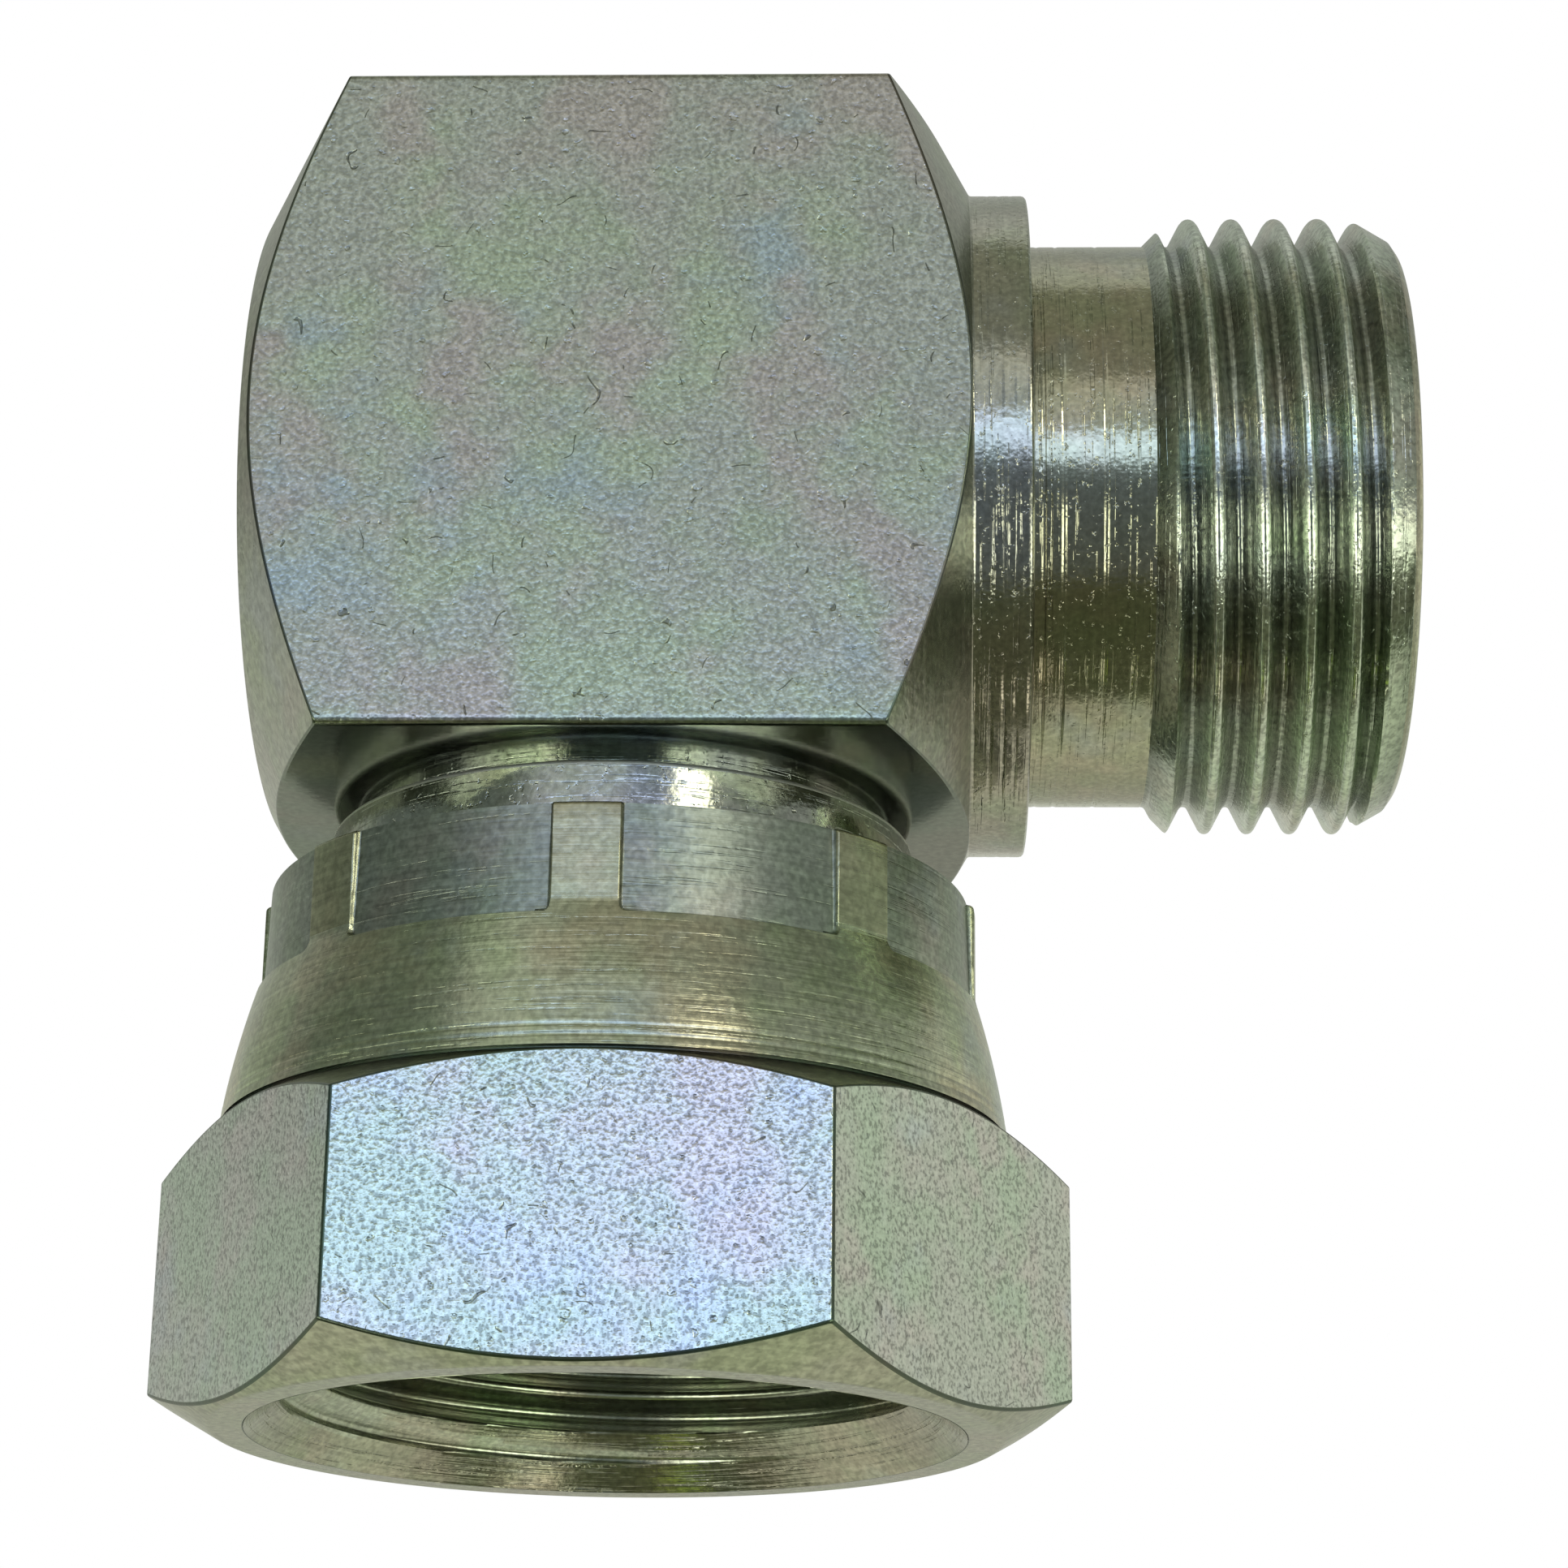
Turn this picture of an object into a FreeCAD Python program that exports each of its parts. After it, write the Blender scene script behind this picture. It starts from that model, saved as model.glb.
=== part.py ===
"""Hydraulic elbow fitting: a block elbow with a male stud and a crimped swivel nut, in millimetres.

The part stands on the mouth of its nut. The origin is the middle of that mouth, +Z runs up the
nut's axis and +X out along the stud. Everything is stacked up from the mouth: hexagon, skirt and
rim of the nut, then the tail's ring, then the block, whose middle carries the stud's axis.
"""
import FreeCAD, Part
import math
import os
from FreeCAD import Vector

# Hexagon of the nut
nut_across_flats = 32.0
mouth_face_radius = 15.72      # outer edge of the flat mouth face, where the lower chamfer starts
top_face_radius = 15.92        # inner edge of the upper chamfer
hexagon_height = 11.7          # from the mouth to the groove above the hexagon
hexagon_chamfer_angle = 30.0   # both chamfers, from the plane of the mouth
groove_radius = 15.75
groove_width = 0.12

# Flared skirt above the hexagon, turned
flare_foot_radius = 15.98
flare_bulge = 0.13             # how far the middle of the flare stands out from a straight cone
flare_height = 5.93
skirt_radius = 14.69
skirt_height = 3.95            # the part that the jaws squeeze, up to the rim
rim_chamfer = 0.25

# Dents left by the crimping jaws, with ribs of full radius between them
jaw_count = 8
jaw_rib_width = 2.7            # along the skirt, between two dents
first_rib_angle = -90.9        # direction of the front rib, counted from +X
dent_depth_at_rim = 0.29
dent_depth_at_foot = 0.17
dent_into_flare = 0.4          # how far each dent runs down into the flare
dent_corner_round = 0.3

# Inside of the nut: thread at its minor radius, chamber round the tail's head, crimped lip
mouth_bevel_radius = 14.3
thread_minor_radius = 12.06
thread_depth = 12.1            # from the mouth to the end of the thread
lip_length = 1.6

# Tail, the turned nipple that carries the nut
ring_radius = 12.06
ring_above_rim = 2.6
ring_edge_chamfer = 0.2
head_radius = 13.0
shoulder_angle = 45.0
cone_root_radius = 11.3
cone_tip_radius = 8.9
cone_half_angle = 30.0
cone_tip_above_thread = 0.3
tail_bore_radius = 7.5
neck_in_gap_radius = 11.0      # where the tail seats on the block's underside
gap_under_block = 0.7
spigot_length = 4.2
socket_radius = 9.5            # counterbore in the block's underside

# Clearances between the nut and the tail, and in the brazed socket
lip_clearance = 0.08
head_clearance = 0.08
end_play = 0.12
socket_clearance = 0.03
socket_end_gap = 0.3

# Block, a length of square bar with both ends turned to a cone
block_across_flats = 28.3
bar_edge_round = 0.25
closed_end_reach = 14.74       # from the nut's axis to the closed end face
stud_end_reach = 14.46         # from the nut's axis to the foot of the collar
closed_end_radius = 13.34
end_cone_angle = 30.0          # both cones, from the plane of the end face

# Collar, neck and male stud, turned in one piece with the block
collar_radius = 14.12
collar_width = 2.39
collar_edge_chamfer = 0.25
neck_radius = 11.97
neck_length = 4.95
thread_outer_radius = 13.12
thread_length = 8.61           # over the crests, with the start chamfer and without the tip
stud_chamfer_length = 1.6      # from the last full crest
stud_chamfer_radius = 12.2     # where the chamfer meets the steeper bevel of the end face
stud_bevel_length = 0.35
stud_face_radius = 11.7

# Bores of the block
stud_bore_radius = 8.0
stud_cone_radius = 10.4        # mouth of the 60 degree inner cone that the mating nose seals on
stud_cone_half_angle = 30.0
stud_bore_past_axis = 4.0      # full bore, beyond the nut's axis
upright_bore_end = 3.75        # full bore ends this far below the stud's axis
drill_tip_half_angle = 59.0

overshoot = 1.0                # how far cutting shapes stand out past the faces they open


def tan(degrees):
    return math.tan(math.radians(degrees))


def outline(points):
    """Closed face in the XZ plane through (radius or x, z) corners, in order."""
    corners = [Vector(a, 0, b) for a, b in points]
    return Part.Face(Part.makePolygon(corners + corners[:1]))


def turned_about_z(points):
    """Solid of revolution about Z from (radius, z) corners."""
    return outline(points).revolve(Vector(0, 0, 0), Vector(0, 0, 1), 360)


def turned_about_stud(points):
    """Solid of revolution about the stud's axis from (x, radius) corners."""
    face = outline(points)
    solid = face.revolve(Vector(0, 0, 0), Vector(1, 0, 0), 360)
    solid.translate(Vector(0, 0, stud_axis_height))
    return solid


# Heights above the mouth, stacked from the sizes above
groove_top = hexagon_height + groove_width
skirt_foot = groove_top + flare_height
rim_height = skirt_foot + skirt_height
ring_top = rim_height + ring_above_rim
underside_height = ring_top + gap_under_block
stud_axis_height = underside_height + block_across_flats / 2

# Radii and lengths that follow from the fits
lip_radius = ring_radius + lip_clearance
chamber_radius = head_radius + head_clearance
lip_foot = rim_height - lip_length
chamber_top = lip_foot - (chamber_radius - lip_radius) / tan(shoulder_angle)
shoulder_top = lip_foot + lip_clearance / tan(shoulder_angle) - end_play
head_top = shoulder_top - (head_radius - ring_radius) / tan(shoulder_angle)
cone_tip = thread_depth + cone_tip_above_thread
cone_root = cone_tip + (cone_root_radius - cone_tip_radius) / tan(cone_half_angle)
chamber_foot = thread_depth + (chamber_radius - thread_minor_radius)
mouth_bevel_depth = mouth_bevel_radius - thread_minor_radius
socket_depth = spigot_length + socket_end_gap
collar_face = stud_end_reach + collar_width
thread_start = collar_face + neck_length
thread_end = thread_start + thread_length
chamfer_end = thread_end + stud_chamfer_length
stud_end = chamfer_end + stud_bevel_length


def hexagon():
    """Hexagonal prism with its corners on +X and -X, chamfered by a cone above and below."""
    corner_radius = nut_across_flats / math.sqrt(3)
    corners = [Vector(corner_radius * math.cos(k * math.pi / 3),
                      corner_radius * math.sin(k * math.pi / 3), 0) for k in range(6)]
    prism = Part.Face(Part.makePolygon(corners + corners[:1])).extrude(Vector(0, 0, hexagon_height))
    wide = corner_radius + overshoot
    slope = tan(hexagon_chamfer_angle)
    envelope = turned_about_z([
        (0, 0),
        (mouth_face_radius, 0),
        (wide, (wide - mouth_face_radius) * slope),
        (wide, hexagon_height - (wide - top_face_radius) * slope),
        (top_face_radius, hexagon_height),
        (0, hexagon_height),
    ])
    return prism.common(envelope)


def skirt():
    """Turned groove, flare of two cones and straight skirt above the hexagon, up to the rim."""
    foot = Vector(flare_foot_radius, 0, groove_top)
    top = Vector(skirt_radius, 0, skirt_foot)
    across = Vector(top.z - foot.z, 0, foot.x - top.x).normalize()
    middle = (foot + top) * 0.5 + across * flare_bulge
    return turned_about_z([
        (0, hexagon_height),
        (groove_radius, hexagon_height),
        (groove_radius, groove_top),
        (foot.x, foot.z),
        (middle.x, middle.z),
        (top.x, top.z),
        (skirt_radius, rim_height - rim_chamfer),
        (skirt_radius - rim_chamfer, rim_height),
        (0, rim_height),
    ])


def jaw_dent():
    """What one crimping jaw presses away: a slightly tapered shell, standing on the +X side."""
    foot = skirt_foot - dent_into_flare
    outside = flare_foot_radius + overshoot
    profile = outline([
        (skirt_radius - dent_depth_at_foot, foot),
        (outside, foot),
        (outside, rim_height + overshoot),
        (skirt_radius - dent_depth_at_rim, rim_height + overshoot),
    ])
    pitch = 360.0 / jaw_count
    width = pitch - math.degrees(jaw_rib_width / skirt_radius)
    shell = profile.revolve(Vector(0, 0, 0), Vector(0, 0, 1), width)
    shell.rotate(Vector(0, 0, 0), Vector(0, 0, 1), -width / 2)
    foot_corners = [e for e in shell.Edges if isinstance(e.Curve, Part.Line)
                    and abs(e.BoundBox.ZMin - foot) < 1e-6 and e.BoundBox.ZLength < 1e-6]
    return shell.makeFillet(dent_corner_round, foot_corners)


def nut_inside():
    """Mouth bevel, thread at its minor radius, chamber for the tail's head, and the lip's bore."""
    return turned_about_z([
        (0, -overshoot),
        (mouth_bevel_radius, -overshoot),
        (mouth_bevel_radius, 0),
        (thread_minor_radius, mouth_bevel_depth),
        (thread_minor_radius, thread_depth),
        (chamber_radius, chamber_foot),
        (chamber_radius, chamber_top),
        (lip_radius, lip_foot),
        (lip_radius, rim_height + overshoot),
        (0, rim_height + overshoot),
    ])


def swivel_nut():
    """Hexagon nut whose skirt is crimped in behind the tail's shoulder by a ring of jaws."""
    nut = hexagon().fuse(skirt()).removeSplitter()
    pitch = 360.0 / jaw_count
    for k in range(jaw_count):
        dent = jaw_dent()
        dent.rotate(Vector(0, 0, 0), Vector(0, 0, 1), first_rib_angle + (k + 0.5) * pitch)
        nut = nut.cut(dent)
    return nut.cut(nut_inside())


def swivel_tail():
    """Nipple turned in one piece: spigot, seat, ring, back shoulder, head, cone nose and bore."""
    spigot_radius = socket_radius - socket_clearance
    body = turned_about_z([
        (0, cone_tip),
        (cone_tip_radius, cone_tip),
        (cone_root_radius, cone_root),
        (head_radius, cone_root),
        (head_radius, head_top),
        (ring_radius, shoulder_top),
        (ring_radius, ring_top - ring_edge_chamfer),
        (ring_radius - ring_edge_chamfer, ring_top),
        (neck_in_gap_radius, ring_top),
        (neck_in_gap_radius, underside_height),
        (spigot_radius, underside_height),
        (spigot_radius, underside_height + spigot_length),
        (0, underside_height + spigot_length),
    ])
    bore = turned_about_z([
        (0, cone_tip - overshoot),
        (tail_bore_radius, cone_tip - overshoot),
        (tail_bore_radius, underside_height + spigot_length + overshoot),
        (0, underside_height + spigot_length + overshoot),
    ])
    return body.cut(bore)


def block():
    """Square bar with softly rounded long edges, both of its ends turned down to a cone."""
    half = block_across_flats / 2
    length = closed_end_reach + stud_end_reach
    bar = Part.makeBox(length, block_across_flats, block_across_flats,
                       Vector(-closed_end_reach, -half, underside_height))
    long_edges = [e for e in bar.Edges if abs(e.BoundBox.XLength - length) < 1e-6]
    bar = bar.makeFillet(bar_edge_round, long_edges)
    wide = block_across_flats
    slope = tan(end_cone_angle)
    envelope = turned_about_stud([
        (-closed_end_reach, 0),
        (-closed_end_reach, closed_end_radius),
        (-closed_end_reach + (wide - closed_end_radius) * slope, wide),
        (stud_end_reach - (wide - collar_radius) * slope, wide),
        (stud_end_reach, collar_radius),
        (stud_end_reach, 0),
    ])
    return bar.common(envelope)


def stud():
    """Collar, neck and thread, at the crests' radius, from inside the block to the end face."""
    return turned_about_stud([
        (0, 0),
        (0, collar_radius),
        (collar_face - collar_edge_chamfer, collar_radius),
        (collar_face, collar_radius - collar_edge_chamfer),
        (collar_face, neck_radius),
        (thread_start, neck_radius),
        (thread_start + thread_outer_radius - neck_radius, thread_outer_radius),
        (thread_end, thread_outer_radius),
        (chamfer_end, stud_chamfer_radius),
        (stud_end, stud_face_radius),
        (stud_end, 0),
    ])


def block_bores():
    """Stud bore with its inner cone, the bore up from below, and the counterbore for the tail."""
    cone_depth = (stud_cone_radius - stud_bore_radius) / tan(stud_cone_half_angle)
    along = turned_about_stud([
        (-stud_bore_past_axis - stud_bore_radius / tan(drill_tip_half_angle), 0),
        (-stud_bore_past_axis, stud_bore_radius),
        (stud_end - cone_depth, stud_bore_radius),
        (stud_end, stud_cone_radius),
        (stud_end + overshoot, stud_cone_radius),
        (stud_end + overshoot, 0),
    ])
    bore_end = stud_axis_height - upright_bore_end
    upright = turned_about_z([
        (0, underside_height - overshoot),
        (socket_radius, underside_height - overshoot),
        (socket_radius, underside_height + socket_depth),
        (tail_bore_radius, underside_height + socket_depth),
        (tail_bore_radius, bore_end),
        (0, bore_end + tail_bore_radius / tan(drill_tip_half_angle)),
    ])
    return along.fuse(upright)


def elbow_body():
    """Block and stud in one piece, drilled through from the stud to the underside."""
    return block().fuse(stud()).removeSplitter().cut(block_bores())


os.makedirs("parts", exist_ok=True)
for name, make in (("elbow_body", elbow_body), ("swivel_tail", swivel_tail), ("swivel_nut", swivel_nut)):
    piece = make()
    piece.exportStep("parts/" + name + ".step")
    print(name, "solids", len(piece.Solids), "valid", piece.isValid(),
          "volume", round(piece.Volume, 1), "box", piece.BoundBox)
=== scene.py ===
"""Hydraulic elbow fitting: zinc-plated block elbow with a male stud and a crimped swivel nut."""
import math

import bmesh
import bpy
import numpy as np
from mathutils import Matrix, Vector


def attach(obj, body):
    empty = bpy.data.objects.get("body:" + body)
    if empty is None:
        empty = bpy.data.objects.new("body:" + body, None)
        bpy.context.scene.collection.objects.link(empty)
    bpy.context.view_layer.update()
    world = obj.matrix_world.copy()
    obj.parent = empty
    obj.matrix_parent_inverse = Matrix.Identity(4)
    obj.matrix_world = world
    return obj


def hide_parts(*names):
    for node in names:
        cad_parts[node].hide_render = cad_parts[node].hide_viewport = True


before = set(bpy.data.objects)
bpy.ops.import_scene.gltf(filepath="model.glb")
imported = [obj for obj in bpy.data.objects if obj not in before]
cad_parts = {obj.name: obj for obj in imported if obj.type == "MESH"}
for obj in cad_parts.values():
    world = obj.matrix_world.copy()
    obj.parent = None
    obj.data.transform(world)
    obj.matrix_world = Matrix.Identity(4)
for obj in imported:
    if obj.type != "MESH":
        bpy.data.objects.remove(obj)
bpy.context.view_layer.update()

# Elbow body: a length of square steel bar, both ends turned to a cone, with the collar, the neck and
# the G 3/4 stud turned and threaded on one of them. It is drilled from the stud and from below, and
# zinc plated all over: the bar's flats keep a fine grain, the turned parts show faint tool lines.
mm = 0.001
crease_angle = 35.0            # faces that meet at a larger angle keep a sharp edge between them
stud_axis_height = 39.15
bar_sides = 4
bar_first_flat = 0.0
block_across_flats = 28.3
bar_edge_round = 0.25
round_steps = np.array([-1.6, -1.0, -0.5, 0.0, 0.5, 1.0, 1.6])  # columns on a rounding, in half roundings
closed_end_reach = 14.74
stud_end_reach = 14.46
closed_end_radius = 13.34
end_cone_slope = math.tan(math.radians(30))
edge_break = 0.09              # how far each sharp edge is broken by deburring and plating
foot_round = 0.10              # the tool's rounding where the collar and the neck begin
collar_radius = 14.12
collar_face = 16.85
collar_edge_break = 0.25
collar_grooves = [(15.2, 0.012), (15.72, 0.016), (16.2, 0.010)]      # (place, depth)
neck_radius = 11.97
neck_grooves = [(17.32, 0.026), (18.12, 0.034), (19.8, 0.030)]
tool_groove_width = 0.24
tool_groove_edge_break = 0.03
tool_groove_foot_round = 0.05
thread_start = 21.8
thread_pitch = 25.4 / 14
thread_crest_radius = 13.12
thread_depth = 0.640327 * thread_pitch
thread_round = 0.137329 * thread_pitch
thread_flank_angle = math.radians(27.5)
thread_arc_end = thread_round * math.cos(thread_flank_angle)    # from a crest to where its arc ends
stud_thread_phase = 0.75       # share of a turn from +Y to the place where a crest crosses x = 0
tip_chamfer_start = 30.41
tip_chamfer_end = 32.01
tip_chamfer_radius = 12.2
thread_run_out = 30.75         # from here the groove fades, so that the tip's chamfer is smooth
thread_run_out_length = 0.5
stud_end = 32.36
stud_face_radius = 11.7
stud_face_break = 0.15
stud_cone_radius = 10.4
stud_cone_foot = 28.2
stud_cone_break = 0.08
stud_bore_radius = 8.0
stud_bore_end = -4.0
stud_drill_tip = 4.8
socket_radius = 9.5
underside_height = 25.0
socket_top = 29.5
upright_bore_radius = 7.5
upright_bore_top = 35.4
upright_drill_tip = 4.5
cutter_overrun = 1.0           # how far the drilling's cutter reaches out of the underside


def columns(even, near=(), spread=()):
    """Angles in degrees from 0 to 360: the angles 'spread' round each of 'near', and 'even' equal steps
    without those that fall within 'too_close' of one of them."""
    too_close = 0.12
    extra = np.add.outer(np.atleast_1d(near), np.asarray(spread, float)).ravel() % 360.0
    steps = np.linspace(0.0, 360.0, even + 1)
    if extra.size:
        gap = np.abs((steps[:, None] - extra[None, :] + 180.0) % 360.0 - 180.0).min(axis=1)
        steps = steps[(gap > too_close) | (steps == 0.0) | (steps == 360.0)]
    return np.unique(np.round(np.concatenate([steps, extra]), 6))


def edge_circle(sides, across_flats, edge_round):
    """The small circle that rounds a prism's long edge: (half the angle of one side, distance of the
    circle's centre from the axis, half the angle that the rounding takes up), the angles in radians. The
    centre lies at half the width less the rounding, divided by the cosine of the half angle."""
    corner = math.radians(180.0 / sides)
    centre = (across_flats / 2 - edge_round) / math.cos(corner)
    reach = math.atan2(edge_round * math.sin(corner), centre + edge_round * math.cos(corner))
    return corner, centre, reach


def flat_sided(angle, sides, across_flats, first_flat, edge_round):
    """Radius of a prism with rounded long edges: half the width over flats divided by the cosine of the
    angle from the nearest flat, and close to an edge the far crossing with the small edge circle."""
    pitch = 360.0 / sides
    corner, centre, reach = edge_circle(sides, across_flats, edge_round)
    from_flat = (angle - first_flat + pitch / 2) % pitch - pitch / 2
    from_edge = corner - np.radians(np.abs(from_flat))
    inside = np.maximum(edge_round ** 2 - (centre * np.sin(from_edge)) ** 2, 0.0)
    on_round = centre * np.cos(from_edge) + np.sqrt(inside)
    return np.where(from_edge < reach, on_round, across_flats / 2 / np.cos(np.radians(from_flat)))


def prism_edges(sides, first_flat):
    """Angles of a prism's long edges, each half a side past a flat."""
    return first_flat + (np.arange(sides) + 0.5) * 360.0 / sides


def profile(corners, angles):
    """Rows of a surface whose section is a chain of straight lines. A corner is (place along the axis,
    radius, how far its edge is broken, finish of the line after it, finish of the broken edge), the last of
    them optional, and the first two may change with the angle. A broken edge is a parabola that leaves both
    lines at that distance from the corner, or at 'most' of a line's length. One more row lies 'beyond' each
    of its ends, so that the smooth shading stays on the edge."""
    most = 0.4
    beyond = 1.15
    place = np.array([[np.broadcast_to(c[0], angles.shape), np.broadcast_to(c[1], angles.shape)]
                      for c in corners], float)
    rows = []
    for i, (_, _, broken, finish, *edge) in enumerate(corners):
        if not broken:
            rows.append((place[i], finish))
            continue
        before = place[i - 1] - place[i]
        after = place[(i + 1) % len(corners)] - place[i]
        before_length = np.maximum(np.hypot(*before), 1e-9)
        after_length = np.maximum(np.hypot(*after), 1e-9)
        start = place[i] + before * np.minimum(broken / before_length, most)
        end = place[i] + after * np.minimum(broken / after_length, most)
        rows.append((place[i] + (start - place[i]) * beyond, corners[i - 1][3]))
        for t in (0.0, 1 / 3, 2 / 3):
            bend = (1 - t) ** 2 * start + 2 * t * (1 - t) * place[i] + t ** 2 * end
            rows.append((bend, edge[0] if edge else finish))
        rows.append((end, finish))
        rows.append((place[i] + (end - place[i]) * beyond, finish))
    return rows


def thread_height(phase):
    """Height of a 55 degree thread above its root for a place in the pitch, 0 and 1 at a crest: straight
    flanks whose crest and root are arcs of the same small radius."""
    from_crest = np.abs((phase + 0.5) % 1.0 - 0.5) * thread_pitch
    mirrored = np.minimum(from_crest, thread_pitch / 2 - from_crest)
    arc_drop = thread_round - np.sqrt(np.maximum(thread_round ** 2 - mirrored ** 2, 0.0))
    flank_drop = (thread_round * (1 - math.sin(thread_flank_angle))
                  + (mirrored - thread_arc_end) / math.tan(thread_flank_angle))
    drop = np.where(mirrored < thread_arc_end, arc_drop, flank_drop)
    return np.where(from_crest < thread_pitch / 4, thread_depth - drop, drop)


def thread(start, end, phase, radius_at, angles, finish, samples):
    """Helical rows of a right-hand thread between two places along its axis: row u lies at the pitch times
    (u + share of the turn), held between the two ends. radius_at(place, phase) gives the radius there, and
    rows one pitch apart meet at the seam."""
    turn = angles / 360.0
    first = math.floor(start / thread_pitch - 1 - phase)
    last = math.ceil(end / thread_pitch - phase)
    rows = []
    for k in range(first, last + 1):
        for sample in samples:
            place = np.clip(thread_pitch * (k + sample + phase + turn), start, end)
            rows.append((np.array([place, radius_at(place, place / thread_pitch - turn - phase)]), finish))
    return rows


def thread_samples(arc_steps, flank_steps):
    """Places in one pitch, from a crest to just before the next, close together on the small arcs."""
    arc_end = thread_arc_end / thread_pitch
    half = np.concatenate([np.linspace(-arc_end, arc_end, 2 * arc_steps + 1),
                           np.linspace(arc_end, 0.5 - arc_end, flank_steps + 1)[1:-1]])
    return np.unique(np.round(np.concatenate([half % 1.0, (half + 0.5) % 1.0]), 6))


def turned(name, rows, angles, along, finishes, loop, centre_height=0.0):
    """A mesh with the rows round the X or Z axis: each point at its radius times the cosine and sine of its
    angle. Neighbouring rows and columns make four-cornered faces, points that fall together are merged,
    and 'loop' joins the last row to the first."""
    if loop:
        rows = rows + rows[:1]
    place = np.array([r[0][0] for r in rows])
    radius = np.array([r[0][1] for r in rows])
    turn = np.radians(angles)
    cos, sin = radius * np.cos(turn), radius * np.sin(turn)
    if along == "X":
        points = np.stack([place, cos, sin + centre_height], axis=-1)
    else:
        points = np.stack([cos, sin, place + centre_height], axis=-1)
    count, width = place.shape
    corner = (np.arange(count - 1)[:, None] * width + np.arange(width - 1)[None, :]).ravel()
    faces = np.stack([corner, corner + 1, corner + 1 + width, corner + width], axis=1)
    band = np.array([np.broadcast_to(r[1], angles.shape)[:-1] for r in rows[:-1]]).ravel()
    mesh = bpy.data.meshes.new(name)
    mesh.vertices.add(count * width)
    mesh.vertices.foreach_set("co", (points * mm).ravel())
    mesh.loops.add(faces.size)
    mesh.loops.foreach_set("vertex_index", faces.ravel().astype(np.int32))
    mesh.polygons.add(len(faces))
    mesh.polygons.foreach_set("loop_start", np.arange(0, faces.size, 4, dtype=np.int32))
    mesh.polygons.foreach_set("material_index", band.astype(np.int32))
    mesh.update(calc_edges=True)
    for finish in finishes:
        mesh.materials.append(finish)
    close_up(mesh)
    piece = bpy.data.objects.new(name, mesh)
    bpy.context.scene.collection.objects.link(piece)
    return piece


def close_up(mesh):
    """Merges points that fall together, turns all faces outwards and marks the edges that stay sharp."""
    same_point = 2e-7
    no_length = 1e-7
    work = bmesh.new()
    work.from_mesh(mesh)
    bmesh.ops.remove_doubles(work, verts=work.verts, dist=same_point)
    bmesh.ops.dissolve_degenerate(work, edges=work.edges, dist=no_length)
    bmesh.ops.recalc_face_normals(work, faces=work.faces)
    work.to_mesh(mesh)
    work.free()
    mesh.shade_smooth()
    mesh.set_sharp_from_angle(angle=math.radians(crease_angle))


class Socket:
    """An output in a node tree. Arithmetic on it adds Math nodes to that tree."""

    def __init__(self, tree, output=None):
        self.tree = tree
        self.output = output

    def node(self, kind, settings=None, inputs=None, output=0):
        """One node of any kind: its settings first, then its sockets' values or links. Gives one output."""
        made = self.tree.nodes.new(kind)
        for key, value in (settings or {}).items():
            if key == "stops":
                ramp = made.color_ramp.elements
                while len(ramp) < len(value):
                    ramp.new(0.5)
                for stop, (place, colour) in zip(ramp, value):
                    stop.position = place
                    stop.color = (*colour, 1.0)
            else:
                setattr(made, key, value)
        for key, value in (inputs or {}).items():
            if isinstance(value, Socket):
                self.tree.links.new(value.output, made.inputs[key])
            else:
                made.inputs[key].default_value = value
        return Socket(self.tree, made.outputs[output] if len(made.outputs) else None)

    def maths(self, operation, *values):
        return self.node("ShaderNodeMath", {"operation": operation}, dict(enumerate(values)))

    def __add__(self, other):
        return self.maths("ADD", self, other)

    def __sub__(self, other):
        return self.maths("SUBTRACT", self, other)

    def __rsub__(self, other):
        return self.maths("SUBTRACT", other, self)

    def __mul__(self, other):
        return self.maths("MULTIPLY", self, other)

    def __truediv__(self, other):
        return self.maths("DIVIDE", self, other)

    def __pow__(self, other):
        return self.maths("POWER", self, other)

    __radd__ = __add__
    __rmul__ = __mul__

    def parts(self):
        """The three numbers of a vector."""
        return [self.node("ShaderNodeSeparateXYZ", {}, {"Vector": self}, output=i) for i in range(3)]

    def between(self, low, high):
        """0 below the first value, 1 above the second, with a soft rise from one to the other."""
        return self.node("ShaderNodeMapRange", {"interpolation_type": "SMOOTHSTEP"},
                         {"Value": self, "From Min": low, "From Max": high})

    def blend(self, first, second):
        """The first colour where this is 0, the second where it is 1."""
        return self.node("ShaderNodeMix", {"data_type": "RGBA"},
                         {"Factor": self, 6: first, 7: second}, output=2)

    def times(self, share):
        """This colour, lighter or darker by a number."""
        grey = self.node("ShaderNodeCombineXYZ", {}, {"X": share, "Y": share, "Z": share})
        return self.node("ShaderNodeVectorMath", {"operation": "MULTIPLY"}, {0: self, 1: grey})

    def noise(self, scale, detail, other=0.0):
        """Noise on this place in mm, about 1/scale mm across and from about 0.2 to 0.8. 'other' gives
        another one."""
        return self.node("ShaderNodeTexNoise", {"noise_dimensions": "4D"},
                         {"Vector": self, "W": other, "Scale": scale, "Detail": detail, "Roughness": 0.6})


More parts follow.
